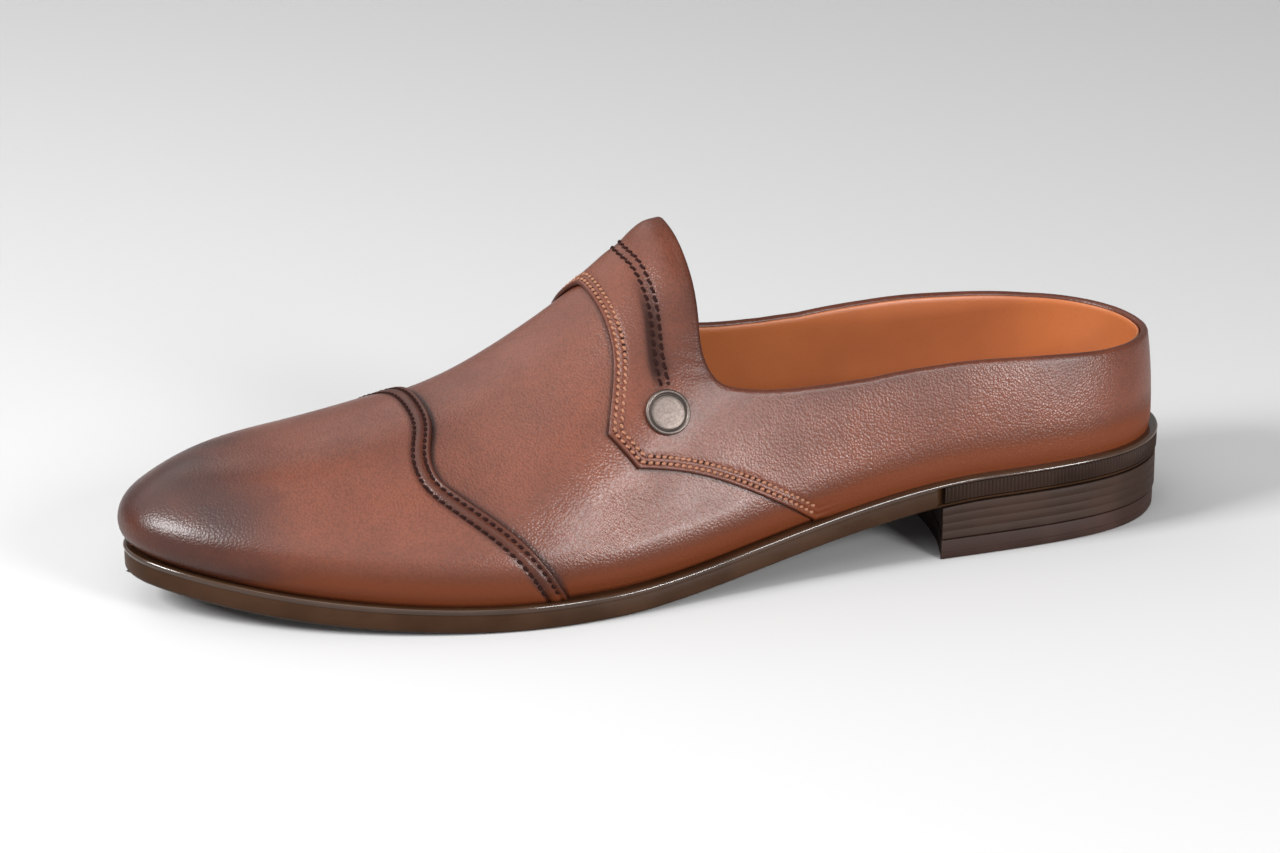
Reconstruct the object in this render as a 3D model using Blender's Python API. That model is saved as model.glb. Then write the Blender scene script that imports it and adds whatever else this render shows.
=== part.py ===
# Left mule: a lasted leather upper under a toe cap and a tongued quarter, on a moulded
# sole with a stacked heel.  +X points to the toe, +Y to the outer side, +Z up; tables in mm.
import bmesh
import bpy
import numpy as np
from mathutils import Matrix, Vector

for old in list(bpy.data.objects):
    bpy.data.objects.remove(old, do_unlink=True)

MM = 0.001
LENGTH = 290.0           # outsole, heel back to toe tip
ORIGIN = (145.5, 1.0)    # middle of the shoe's box in the tables' x and y
GAP = 0.3                # clearance between pieces

# Sole line: a flat spot under the ball, the toe spring ahead of it, the arch behind it.
TOE_SPRING, SPRING_FROM, SPRING_POWER = 9.7, 188.0, 2.2
HEEL_SEAT, ARCH_FRONT, ARCH_BACK = 16.0, 172.0, 59.0
SOLE_THICK = 7.0
FEATHER = 2.5            # foot of the upper, inside the edge of the sole

# Outsole outline: half-widths on the outer and the inner side at each station.
OUTLINE_COLUMNS = ("x", "outer", "inner")
OUTLINE = [
    (0.0, 0.0, 0.0),
    (3.0, 12.3, 12.5),
    (10.0, 21.5, 22.0),
    (20.0, 28.0, 29.0),
    (35.0, 32.3, 33.0),
    (55.0, 34.5, 33.3),
    (75.0, 35.5, 32.0),
    (100.0, 36.8, 31.0),
    (125.0, 39.3, 31.5),
    (150.0, 43.7, 34.0),
    (175.0, 48.5, 39.3),
    (192.0, 49.6, 43.6),
    (208.0, 48.0, 46.5),
    (225.0, 44.0, 47.5),
    (240.0, 39.0, 45.8),
    (255.0, 32.5, 41.3),
    (268.0, 25.0, 33.8),
    (278.0, 17.5, 25.0),
    (285.0, 10.5, 16.5),
    (288.5, 5.0, 9.5),
    (290.0, -2.0, 2.0),
]

# Last: the ridge line, the two powers of the rib's curve and the swell of the wall.
LAST_COLUMNS = ("x", "ridge_z", "ridge_y", "width_power", "height_power", "swell")
LAST = [
    (20.0, 106.0, -3.0, 2.00, 2.00, 0.4),
    (60.0, 106.0, -4.0, 2.00, 2.00, 0.5),
    (100.0, 104.0, -5.5, 1.98, 1.90, 0.9),
    (130.0, 96.5, -6.7, 1.90, 1.75, 1.8),
    (145.0, 89.8, -7.0, 1.90, 1.72, 2.3),
    (163.0, 75.8, -7.0, 1.93, 1.80, 2.5),
    (180.0, 63.9, -6.8, 1.98, 1.87, 2.4),
    (200.0, 52.6, -6.4, 2.05, 1.97, 2.0),
    (220.0, 46.0, -5.8, 2.20, 2.13, 1.8),
    (240.0, 41.5, -5.3, 2.55, 2.48, 2.6),
    (260.0, 39.2, -5.0, 3.20, 3.10, 3.8),
]

# Panel lines on the last, row by row from the ridge down to the sole: the collar, the front
# edge of the quarter and the rear edge of the toe cap.  A rise runs from 0 at the sole to 1.
PANEL_COLUMNS = ("collar_x", "collar_rise", "quarter_x", "quarter_rise", "cap_x", "cap_rise")
PANELS = [
    (143.4, 1.000, 164.8, 1.000, 209.5, 1.000),
    (139.6, 0.848, 163.2, 0.895, 209.3, 0.915),
    (138.2, 0.750, 162.4, 0.753, 210.4, 0.800),
    (138.8, 0.643, 163.0, 0.648, 212.8, 0.705),
    (140.0, 0.555, 164.8, 0.568, 214.8, 0.625),
    (140.1, 0.479, 167.2, 0.496, 214.8, 0.551),
    (137.8, 0.421, 168.9, 0.442, 212.6, 0.485),
    (132.7, 0.379, 162.1, 0.320, 207.2, 0.381),
    (123.9, 0.340, 141.0, 0.214, 201.3, 0.286),
    (114.9, 0.311, 121.0, 0.078, 193.6, 0.160),
    (105.9, 0.288, 111.5, 0.000, 185.7, 0.000),
]
QUARTER_CORNERS = (6, 7)
INNER_FORWARD = {"collar": 0.0, "quarter": 5.0, "cap": 1.0}   # shift of a line on the inner side

# Collar behind the throat, down to the low back of the heel.
BACK_COLUMNS = ("x", "collar_rise")
BACK = [
    (95.0, 0.268),
    (75.0, 0.252),
    (50.0, 0.238),
    (25.0, 0.222),
    (0.0, 0.210),
]

# Layers of the upper along the last's outward direction.
OVERLAY_OUT, OVERLAY_IN = 0.3, -0.7
WALL_OUT, WALL_IN = -1.0, -3.0

# Heel.
BREAST_X, BREAST_HOLLOW = 75.0, 6.0
HEEL_INSET, TOP_PIECE = 0.9, 5.6
RIB_PITCH, RIB_DEPTH = 2.0, 0.6
RAND_LOW, RAND_HIGH, RAND_SEAT = 1.2, 5.8, 2.0

INSOLE_INSET, INSOLE_THICK = 6.4, 3.0
STUD_X, STUD_RISE = 152.3, 0.407


def column(table, names, name):
    return np.array([row[names.index(name)] for row in table], float)


def curve(knots, values, closed=False):
    """Cubic spline through the values; natural at its ends, or one smooth closed loop."""
    t = np.asarray(knots, float)
    y = np.asarray(values, float)
    n = len(t)
    h = np.diff(t)
    grid = np.zeros((n, n))
    rest = np.zeros_like(y)
    for i in range(1, n - 1):
        grid[i, i - 1:i + 2] = h[i - 1], 2 * (h[i - 1] + h[i]), h[i]
        rest[i] = 6 * ((y[i + 1] - y[i]) / h[i] - (y[i] - y[i - 1]) / h[i - 1])
    grid[0, 0] = grid[-1, -1] = 1
    if closed:
        grid[0, 0], grid[0, 1], grid[0, n - 2] = 2 * (h[-1] + h[0]), h[0], h[-1]
        rest[0] = 6 * ((y[1] - y[0]) / h[0] - (y[-1] - y[-2]) / h[-1])
        grid[-1, 0] = -1
    bend = np.linalg.solve(grid, rest)

    def at(x, slope=False):
        x = np.asarray(x, float)
        i = np.clip(np.searchsorted(t, x, side="right") - 1, 0, n - 2)
        fit = (Ellipsis,) + (None,) * (y.ndim - 1)
        w = h[i][fit]
        u = (x - t[i])[fit]
        v = w - u
        low = y[i] / w - bend[i] * w / 6
        high = y[i + 1] / w - bend[i + 1] * w / 6
        if slope:
            return (bend[i + 1] * u * u - bend[i] * v * v) / (2 * w) + high - low
        return (bend[i] * v ** 3 + bend[i + 1] * u ** 3) / (6 * w) + low * v + high * u

    return at


def station(x):
    """Even spacing around the rounded ends: 0 at the heel, 1 at the toe."""
    return np.arccos(np.clip(1 - 2 * np.asarray(x, float) / LENGTH, -1, 1)) / np.pi


def make_outline():
    x = column(OUTLINE, OUTLINE_COLUMNS, "x")
    outer = np.column_stack([x, column(OUTLINE, OUTLINE_COLUMNS, "outer")])
    inner = np.column_stack([x, -column(OUTLINE, OUTLINE_COLUMNS, "inner")])
    loop = np.concatenate([outer, inner[-2::-1]])
    steps = np.sqrt(np.hypot(*np.diff(loop, axis=0).T))
    knots = np.concatenate([[0], np.cumsum(steps)])
    line = curve(knots, loop, closed=True)
    toe = knots[len(outer) - 1]
    ends = {1: (0.0, toe), -1: (knots[-1], toe)}
    reach = {}
    for side, (start, stop) in ends.items():
        t = np.linspace(start, stop, 600)
        s = np.maximum.accumulate(station(np.clip(line(t)[:, 0], 0, LENGTH)))
        s[0], s[-1] = 0, 1
        reach[side] = (s, t)

    def at(side, s, inset=0.0):
        t = np.interp(s, *reach[side])
        point = line(t)
        way = line(t, slope=True)
        out = np.stack([-way[..., 1], way[..., 0]], -1)
        out /= np.linalg.norm(out, axis=-1, keepdims=True)
        return point - out * np.asarray(inset)[..., None], out

    return at


outline = make_outline()
last_curve = curve(column(LAST, LAST_COLUMNS, "x"), np.array(LAST)[:, 1:])


def sole_line(x):
    """Height of the underside of the outsole."""
    front = np.clip((x - SPRING_FROM) / (LENGTH - SPRING_FROM), 0, None)
    back = np.clip((ARCH_FRONT - x) / (ARCH_FRONT - ARCH_BACK), 0, 1)
    return TOE_SPRING * front ** SPRING_POWER + HEEL_SEAT * back * back * (3 - 2 * back)


def last(side, s, rise):
    """Point on the last: a rib from the feather line up to the ridge."""
    s, rise = np.broadcast_arrays(np.asarray(s, float), np.asarray(rise, float))
    foot, _ = outline(side, s, FEATHER)
    x = LENGTH * (1 - np.cos(np.pi * s)) / 2
    toeward = np.clip((x - 200) / 90, 0, None)
    heelward = np.clip((80 - x) / 80, 0, None)
    ridge_x = x - 30 * toeward ** 2 + 36 * heelward ** 2
    ridge_z, ridge_y, wide, high, swell = np.moveaxis(last_curve(ridge_x), -1, 0)
    fall = last_curve(ridge_x, slope=True)[..., 0]
    ridge = np.stack([ridge_x, ridge_y], -1)
    angle = np.clip(rise, 0, 1) * np.pi / 2
    across = np.clip(np.cos(angle), 0, 1) ** (2 / wide)
    up = np.clip(np.sin(angle), 0, 1) ** (2 / high)
    reach = foot - ridge
    out = reach / np.linalg.norm(reach, axis=-1, keepdims=True)
    bulge = swell * 6.75 * up * (1 - up) ** 2
    plan = ridge + across[..., None] * reach + bulge[..., None] * out
    foot_z = sole_line(foot[..., 0]) + SOLE_THICK + GAP
    depth = ridge_z + fall * reach[..., 0] - foot_z
    z = ridge_z + fall * (plan[..., 0] - ridge_x) - depth * (1 - up)
    return np.concatenate([plan, z[..., None]], -1)


def panel_line(name, steps, side):
    """Station and rise along one panel line, from the ridge down one side of the shoe.

    The line runs on smoothly over the ridge to the other side; its corners stay sharp."""
    x = column(PANELS, PANEL_COLUMNS, name + "_x")
    rise = column(PANELS, PANEL_COLUMNS, name + "_rise")
    forward = INNER_FORWARD[name]
    whole_x = np.concatenate([x[:0:-1] + forward, [x[0] + forward / 2], x[1:]])
    whole_rise = np.concatenate([2 - rise[:0:-1], rise])
    end = len(x) - 1
    rows = np.arange(-end, end + 1)
    corners = QUARTER_CORNERS if name == "quarter" else ()
    cuts = [-end, *(-c for c in reversed(corners)), *corners, end]
    result = np.zeros((len(steps), 2))
    for a, b in zip(cuts[:-1], cuts[1:]):
        inside = (side * steps >= a) & (side * steps <= b)
        part = slice(a + end, b + end + 1)
        line = curve(rows[part], np.column_stack([whole_x, whole_rise])[part])
        result[inside] = line(side * steps[inside])
    if side < 0:
        result[:, 1] = 2 - result[:, 1]
    return np.column_stack([station(result[:, 0]), np.clip(result[:, 1], 0, 1)])


def between(first, second, count):
    """Grid of stations and rises between two panel lines."""
    t = np.linspace(0, 1, count + 1)[None, :, None]
    return first[:, None] * (1 - t) + second[:, None] * t


def weld(points, faces):
    """Join points that coincide and drop faces that fold to nothing."""
    kept, index, place = [], {}, []
    for point in points:
        key = tuple(np.round(point, 2))
        if key not in index:
            index[key] = len(kept)
            kept.append(point)
        place.append(index[key])
    result = []
    for face, tag in faces:
        corners = [place[i] for i in face]
        corners = [c for k, c in enumerate(corners) if c != corners[k - 1]]
        if len(corners) > 2:
            result.append((corners, tag))
    return np.array(kept), result


def make_skin():
    """The whole outer skin on the last, its faces tagged by panel."""
    front = np.linspace(0, len(PANELS) - 1, 2 * (len(PANELS) - 1) + 1)
    points, faces = [], []
    for side in (1, -1):
        lines = {name: panel_line(name, front, side) for name in ("collar", "quarter", "cap")}
        back_x = np.concatenate([[PANELS[-1][0]], column(BACK, BACK_COLUMNS, "x")])
        back_rise = np.concatenate([[PANELS[-1][1]], column(BACK, BACK_COLUMNS, "collar_rise")])
        rows = np.arange(len(back_x))
        steps = np.linspace(0, rows[-1], 3 * rows[-1] + 1)[1:]
        s = np.interp(steps, rows, station(back_x))
        collar = np.column_stack([s, curve(rows, back_rise)(steps)])
        foot_s = np.linspace(lines["quarter"][-1, 0], 0, len(steps) + 1)[1:]
        foot = np.column_stack([foot_s, np.zeros_like(s)])
        toe = np.column_stack([np.ones(len(front)), lines["cap"][:, 1]])
        grids = [
            ("quarter", between(np.vstack([lines["collar"], collar]),
                                np.vstack([lines["quarter"], foot]), 4)),
            ("vamp", between(lines["quarter"], lines["cap"], 7)),
            ("cap", between(lines["cap"], toe, 12)),
        ]
        for tag, grid in grids:
            base = len(points)
            high, wide = grid.shape[:2]
            points.extend(last(side, grid[..., 0], grid[..., 1]).reshape(-1, 3))
            for i in range(high - 1):
                for j in range(wide - 1):
                    a = base + i * wide + j
                    face = [a, a + wide, a + wide + 1, a + 1]
                    faces.append((face if side > 0 else face[::-1], tag))
    return weld(points, faces)


def triangles(points, faces):
    """Split each face of four on its shorter diagonal, so that every layer folds alike."""
    result = []
    for face, tag in faces:
        if len(face) == 4:
            a, b, c, d = face
            short = np.linalg.norm(points[a] - points[c]) < np.linalg.norm(points[b] - points[d])
            halves = ([a, b, c], [a, c, d]) if short else ([a, b, d], [b, c, d])
            result.extend((half, tag) for half in halves)
        else:
            result.append((face, tag))
    return result


def material(name, colour, rough, metal=0.0):
    made = bpy.data.materials.new(name)
    made.use_nodes = True
    sockets = made.node_tree.nodes["Principled BSDF"].inputs
    sockets["Base Color"].default_value = (*colour, 1)
    sockets["Roughness"].default_value = rough
    sockets["Metallic"].default_value = metal
    return made


def finish(name, mesh, look):
    data = bpy.data.meshes.new(name)
    bmesh.ops.recalc_face_normals(mesh, faces=mesh.faces[:])
    mesh.to_mesh(data)
    mesh.free()
    made = bpy.data.objects.new(name, data)
    data.materials.append(look)
    bpy.context.collection.objects.link(made)
    return made


def to_metres(points):
    return (np.asarray(points) - (*ORIGIN, 0)) * MM


def solid(name, faces, layers, look):
    """Closed solid through a pile of layers that share one set of faces."""
    used = sorted({i for face in faces for i in face})
    rim = {}
    for face in faces:
        for a, b in zip(face, face[1:] + face[:1]):
            if rim.pop((b, a), None) is None:
                rim[(a, b)] = True
    edge = {i for pair in rim for i in pair}
    mesh = bmesh.new()
    verts = []
    for k, layer in enumerate(layers):
        caps = k in (0, len(layers) - 1)
        spots = to_metres(layer)
        verts.append({i: mesh.verts.new(spots[i]) for i in used if caps or i in edge})
    for face in faces:
        mesh.faces.new([verts[0][i] for i in reversed(face)])
        mesh.faces.new([verts[-1][i] for i in face])
    for lower, upper in zip(verts[:-1], verts[1:]):
        for a, b in rim:
            mesh.faces.new([lower[a], lower[b], upper[b], upper[a]])
    return finish(name, mesh, look)


def plan_grid(rows, across, hollow=0.0, inset=0.0):
    """Grid over the sole's outline: rows from the heel, columns from the inner to the outer side."""
    outer, _ = outline(1, rows, inset)
    inner, _ = outline(-1, rows, inset)
    t = np.linspace(0, 1, across + 1)[None, :, None]
    grid = inner[:, None] * (1 - t) + outer[:, None] * t
    share = (rows / rows[-1])[:, None] ** 2
    grid[..., 0] -= hollow * share * (1 - (2 * t[..., 0] - 1) ** 2)
    return grid


def plan_faces(high, wide):
    faces = []
    for i in range(high - 1):
        for j in range(wide - 1):
            a = i * wide + j
            faces.append(([a, a + wide, a + wide + 1, a + 1], "plan"))
    return faces


def plan_solid(name, levels, look, rows, across, hollow=0.0):
    """Slab over the outline; a level is an inset and a height, each a number or a rule of x."""
    x = LENGTH * (1 - np.cos(np.pi * rows)) / 2
    stacks = []
    for inset, height in levels:
        depth = inset(x) if callable(inset) else np.full_like(x, inset)
        grid = plan_grid(rows, across, hollow, depth)
        z = height(grid[..., 0]) if callable(height) else np.full(grid.shape[:2], height)
        stacks.append(np.concatenate([grid, z[..., None]], -1).reshape(-1, 3))
    plain = plan_grid(rows, across, hollow)
    flat = np.concatenate([plain, np.zeros(plain.shape[:2] + (1,))], -1).reshape(-1, 3)
    kept, faces = weld(flat, plan_faces(len(rows), across + 1))
    order = [int(np.argmin(np.linalg.norm(flat - point, axis=1))) for point in kept]
    return solid(name, [face for face, _ in faces], [stack[order] for stack in stacks], look)


LEATHER = material("brown leather", (0.16, 0.055, 0.028), 0.42)
PANEL = material("brown panel leather", (0.18, 0.062, 0.030), 0.40)
CAP = material("brown cap leather", (0.15, 0.050, 0.026), 0.38)
SOCK = material("tan sock leather", (0.40, 0.16, 0.05), 0.5)
SOLE = material("dark sole", (0.030, 0.018, 0.014), 0.45)
RAND = material("dark ribbed strip", (0.026, 0.015, 0.012), 0.55)
STACK = material("stacked heel", (0.045, 0.027, 0.018), 0.5)
RUBBER = material("top piece rubber", (0.022, 0.016, 0.014), 0.6)
NICKEL = material("antique nickel", (0.48, 0.46, 0.42), 0.35, 1.0)

# Upper and overlays share the skin's points and directions, so their facets stay parallel.
skin, skin_faces = make_skin()
skin_faces = triangles(skin, skin_faces)
probe = bmesh.new()
for spot in skin:
    probe.verts.new(spot)
probe.verts.ensure_lookup_table()
for face, _ in skin_faces:
    probe.faces.new([probe.verts[i] for i in face])
probe.normal_update()
outward = np.array([vert.normal[:] for vert in probe.verts])
probe.free()
if np.mean(outward[:, 2] * (skin[:, 2] - 40)) < 0:
    outward = -outward


def shell(name, tags, low, high, look):
    faces = [face for face, tag in skin_faces if tag in tags]
    return solid(name, faces, [skin + outward * low, skin + outward * high], look)


shell("upper", ("quarter", "vamp", "cap"), WALL_IN, WALL_OUT, LEATHER)
shell("quarter", ("quarter",), OVERLAY_IN, OVERLAY_OUT, PANEL)
shell("toe_cap", ("cap",), OVERLAY_IN, OVERLAY_OUT, CAP)


# Sole: bevelled foot, plain side, thin rim line, and a seat for the ribbed strip at the heel.
def rand_seat(x):
    return RAND_SEAT * np.clip((BREAST_X + 2 - x) / 2, 0, 1)


def above(height):
    return lambda x: sole_line(x) + height


plan_solid("outsole", [
    (1.2, above(0.0)),
    (0.3, above(0.9)),
    (0.3, above(RAND_LOW - GAP)),
    (rand_seat, above(RAND_LOW - GAP + 0.05)),
    (rand_seat, above(RAND_HIGH + GAP - 0.05)),
    (0.0, above(RAND_HIGH + GAP)),
    (0.0, above(SOLE_THICK - 0.3)),
    (0.4, above(SOLE_THICK)),
], SOLE, np.sort(np.append(np.linspace(0, 1, 45), station([BREAST_X, BREAST_X + 2]))), 2)

plan_solid("insole", [
    (INSOLE_INSET, above(SOLE_THICK + GAP)),
    (INSOLE_INSET, above(SOLE_THICK + GAP + INSOLE_THICK - 0.8)),
    (INSOLE_INSET + 0.8, above(SOLE_THICK + GAP + INSOLE_THICK)),
], SOCK, np.linspace(0, 1, 37), 4)

HEEL_ROWS = np.linspace(0, station(BREAST_X), 17)
plan_solid("heel_block", [
    (HEEL_INSET, TOP_PIECE + GAP),
    (HEEL_INSET - 0.4, TOP_PIECE + GAP + 0.5),
    (HEEL_INSET - 0.4, above(-GAP)),
], STACK, HEEL_ROWS, 6, BREAST_HOLLOW)

plan_solid("heel_top_piece", [
    (HEEL_INSET + 0.6, 0.0),
    (HEEL_INSET, 0.6),
    (HEEL_INSET, TOP_PIECE - 0.5),
    (HEEL_INSET + 0.4, TOP_PIECE),
], RUBBER, HEEL_ROWS, 6, BREAST_HOLLOW)


def make_rand():
    """Ribbed strip around the heel seat, from breast to breast."""
    fine = np.linspace(0, station(BREAST_X - 0.5), 400)
    outer, out_a = outline(1, fine)
    inner, out_b = outline(-1, fine)
    path = np.concatenate([outer[::-1], inner[1:]])
    out = np.concatenate([out_a[::-1], out_b[1:]])
    run = np.concatenate([[0], np.cumsum(np.linalg.norm(np.diff(path, axis=0), axis=1))])
    count = 2 * int(run[-1] / RIB_PITCH) + 1
    where = np.linspace(0, run[-1], count)
    path = np.column_stack([np.interp(where, run, path[:, k]) for k in (0, 1)])
    out = np.column_stack([np.interp(where, run, out[:, k]) for k in (0, 1)])
    dip = RIB_DEPTH * (np.arange(count) % 2)
    layers = []
    for inset in (np.full(count, RAND_SEAT - 2 * GAP), 0.2 + dip):
        plan = path - out * inset[:, None]
        low = np.column_stack([plan, sole_line(plan[:, 0]) + RAND_LOW])
        high = np.column_stack([plan, sole_line(plan[:, 0]) + RAND_HIGH])
        layers.append(np.stack([low, high], 1).reshape(-1, 3))
    faces = [[2 * i, 2 * i + 1, 2 * i + 3, 2 * i + 2] for i in range(count - 1)]
    return solid("heel_rand", faces, layers, RAND)


make_rand()

# Stud: a turned disc with a raised rim, lying on the quarter.
STUD_PROFILE_COLUMNS = ("radius", "height")
STUD_PROFILE = [(6.1, 0.0), (6.1, 0.8), (5.7, 1.3), (5.1, 1.3), (4.8, 0.95), (2.4, 1.05)]


def make_stud():
    s = station(STUD_X)
    spot = last(1, s, STUD_RISE)
    along = last(1, s + 0.004, STUD_RISE) - last(1, s - 0.004, STUD_RISE)
    up = last(1, s, STUD_RISE + 0.01) - last(1, s, STUD_RISE - 0.01)
    normal = Vector(np.cross(up, along)).normalized()
    if normal.y < 0:
        normal.negate()
    tangent = (Vector(along) - normal * Vector(along).dot(normal)).normalized()
    side = normal.cross(tangent)
    place = Vector(spot) + normal * (OVERLAY_OUT + GAP)
    frame = Matrix((tangent, side, normal)).transposed()
    mesh = bmesh.new()
    rings = []
    for radius, height in STUD_PROFILE:
        ring = []
        for angle in np.linspace(0, 2 * np.pi, 24, endpoint=False):
            local = Vector((radius * np.cos(angle), radius * np.sin(angle), height))
            ring.append(mesh.verts.new(to_metres(place + frame @ local)))
        rings.append(ring)
    for lower, upper in zip(rings[:-1], rings[1:]):
        for k in range(24):
            mesh.faces.new([lower[k - 1], lower[k], upper[k], upper[k - 1]])
    mesh.faces.new(rings[0][::-1])
    mesh.faces.new(rings[-1])
    return finish("stud", mesh, NICKEL)


make_stud()
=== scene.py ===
import math

import bmesh
import bpy
import numpy as np
from mathutils import Matrix, Vector, kdtree


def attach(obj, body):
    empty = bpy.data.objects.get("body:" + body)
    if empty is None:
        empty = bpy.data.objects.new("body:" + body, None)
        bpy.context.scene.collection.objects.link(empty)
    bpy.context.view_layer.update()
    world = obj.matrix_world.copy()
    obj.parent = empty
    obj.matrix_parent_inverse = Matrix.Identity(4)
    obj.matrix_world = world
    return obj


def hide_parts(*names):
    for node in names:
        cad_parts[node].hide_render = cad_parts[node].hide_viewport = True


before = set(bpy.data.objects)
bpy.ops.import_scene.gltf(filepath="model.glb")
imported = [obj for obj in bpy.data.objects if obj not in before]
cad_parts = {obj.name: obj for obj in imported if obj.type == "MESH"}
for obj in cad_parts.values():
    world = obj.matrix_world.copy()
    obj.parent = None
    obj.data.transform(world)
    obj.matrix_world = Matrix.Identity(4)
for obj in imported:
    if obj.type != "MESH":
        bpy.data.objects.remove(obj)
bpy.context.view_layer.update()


# Outsole: one moulded unit of dark brown rubber, thin at the waist and sprung at the toe.
# A rounded bead runs along the top of its side, and the upper is cemented into the shelf behind it.
MM = 0.001
LENGTH = 290.0
ORIGIN = (145.5, 1.0)
GAP = 0.3
TOE_SPRING, SPRING_FROM, SPRING_POWER = 9.7, 188.0, 2.2
HEEL_SEAT, ARCH_FRONT, ARCH_BACK = 16.0, 172.0, 59.0
SOLE_THICK = 7.0
BREAST_X = 75.0
RAND_SEAT, SEAT_RAMP = 2.0, 2.0
TOE_LIP, LIP_FROM = 1.0, 262.0
RIM_FROM, RIM_POLISH = 5.4, 0.8
SOLE_ROWS = 221
WELD = 2e-6

OUTLINE_COLUMNS = ("x", "outer", "inner")
OUTLINE = [
    (0.0, 0.0, 0.0),
    (3.0, 12.3, 12.5),
    (10.0, 21.5, 22.0),
    (20.0, 28.0, 29.0),
    (35.0, 32.3, 33.0),
    (55.0, 34.5, 33.3),
    (75.0, 35.5, 32.0),
    (100.0, 36.8, 31.0),
    (125.0, 39.3, 31.5),
    (150.0, 43.7, 34.0),
    (175.0, 48.5, 39.3),
    (192.0, 49.6, 43.6),
    (208.0, 48.0, 46.5),
    (225.0, 44.0, 47.5),
    (240.0, 39.0, 45.8),
    (255.0, 32.5, 41.3),
    (268.0, 25.0, 33.8),
    (278.0, 17.5, 25.0),
    (285.0, 10.5, 16.5),
    (288.5, 5.0, 9.5),
    (290.0, -2.0, 2.0),
]

# Half of the sole's section, from the middle of its underside round the edge to the middle of its top.
SOLE_SECTION_COLUMNS = ("share", "inset", "height", "seat")
SOLE_SECTION = [
    (0.0, 1.7, 0.00, 0),
    (0.5, 1.7, 0.00, 0),
    (1.0, 1.7, 0.00, 0),
    (1.0, 0.9, 0.15, 0),
    (1.0, 0.5, 0.60, 0),
    (1.0, 0.38, 0.90, 0),
    (1.0, 0.34, 1.05, 1),
    (1.0, 0.28, 2.60, 1),
    (1.0, 0.30, 4.60, 1),
    (1.0, 0.42, 5.10, 1),
    (1.0, 0.40, 5.30, 1),
    (1.0, 0.24, 5.50, 1),
    (1.0, 0.04, 6.00, 0),
    (1.0, 0.00, 6.30, 0),
    (1.0, 0.12, 6.65, 0),
    (1.0, 0.42, 6.92, 0),
    (1.0, 0.90, 7.00, 0),
    (1.0, 1.60, 6.90, 0),
    (1.0, 3.00, 6.90, 0),
    (0.5, 3.00, 6.90, 0),
    (0.0, 3.00, 6.90, 0),
]


def column(table, names, name):
    return np.array([row[names.index(name)] for row in table], float)


def curve(knots, values, closed=False):
    """Cubic spline through the values; natural at its ends, or one smooth closed loop."""
    t = np.asarray(knots, float)
    y = np.asarray(values, float)
    n = len(t)
    h = np.diff(t)
    grid = np.zeros((n, n))
    rest = np.zeros_like(y)
    for i in range(1, n - 1):
        grid[i, i - 1:i + 2] = h[i - 1], 2 * (h[i - 1] + h[i]), h[i]
        rest[i] = 6 * ((y[i + 1] - y[i]) / h[i] - (y[i] - y[i - 1]) / h[i - 1])
    grid[0, 0] = grid[-1, -1] = 1
    if closed:
        grid[0, 0], grid[0, 1], grid[0, n - 2] = 2 * (h[-1] + h[0]), h[0], h[-1]
        rest[0] = 6 * ((y[1] - y[0]) / h[0] - (y[-1] - y[-2]) / h[-1])
        grid[-1, 0] = -1
    bend = np.linalg.solve(grid, rest)

    def at(x, slope=False):
        x = np.asarray(x, float)
        i = np.clip(np.searchsorted(t, x, side="right") - 1, 0, n - 2)
        fit = (Ellipsis,) + (None,) * (y.ndim - 1)
        w = h[i][fit]
        u = (x - t[i])[fit]
        v = w - u
        low = y[i] / w - bend[i] * w / 6
        high = y[i + 1] / w - bend[i + 1] * w / 6
        if slope:
            return (bend[i + 1] * u * u - bend[i] * v * v) / (2 * w) + high - low
        return (bend[i] * v ** 3 + bend[i + 1] * u ** 3) / (6 * w) + low * v + high * u

    return at


def station(x):
    """Even spacing around the rounded ends: 0 at the heel, 1 at the toe."""
    return np.arccos(np.clip(1 - 2 * np.asarray(x, float) / LENGTH, -1, 1)) / np.pi


def from_heel(s):
    """Distance of a station from the back of the heel."""
    return LENGTH * (1 - np.cos(np.pi * s)) / 2


def make_outline():
    x = column(OUTLINE, OUTLINE_COLUMNS, "x")
    outer = np.column_stack([x, column(OUTLINE, OUTLINE_COLUMNS, "outer")])
    inner = np.column_stack([x, -column(OUTLINE, OUTLINE_COLUMNS, "inner")])
    loop = np.concatenate([outer, inner[-2::-1]])
    steps = np.sqrt(np.hypot(*np.diff(loop, axis=0).T))
    knots = np.concatenate([[0], np.cumsum(steps)])
    line = curve(knots, loop, closed=True)
    toe = knots[len(outer) - 1]
    reach = {}
    for side, start in ((1, 0.0), (-1, knots[-1])):
        t = np.linspace(start, toe, 600)
        s = np.maximum.accumulate(station(np.clip(line(t)[:, 0], 0, LENGTH)))
        s[0], s[-1] = 0, 1
        reach[side] = (s, t)

    def at(side, s, inset=0.0):
        t = np.interp(s, *reach[side])
        way = line(t, slope=True)
        out = np.stack([-way[..., 1], way[..., 0]], -1)
        out /= np.linalg.norm(out, axis=-1, keepdims=True)
        return line(t) - out * np.asarray(inset)[..., None], out

    return at


outline = make_outline()


def sole_line(x):
    """Height of the underside of the outsole."""
    front = np.clip((x - SPRING_FROM) / (LENGTH - SPRING_FROM), 0, None)
    back = np.clip((ARCH_FRONT - x) / (ARCH_FRONT - ARCH_BACK), 0, 1)
    return TOE_SPRING * front ** SPRING_POWER + HEEL_SEAT * back * back * (3 - 2 * back)


def to_metres(points):
    return (np.asarray(points) - (*ORIGIN, 0)) * MM


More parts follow.
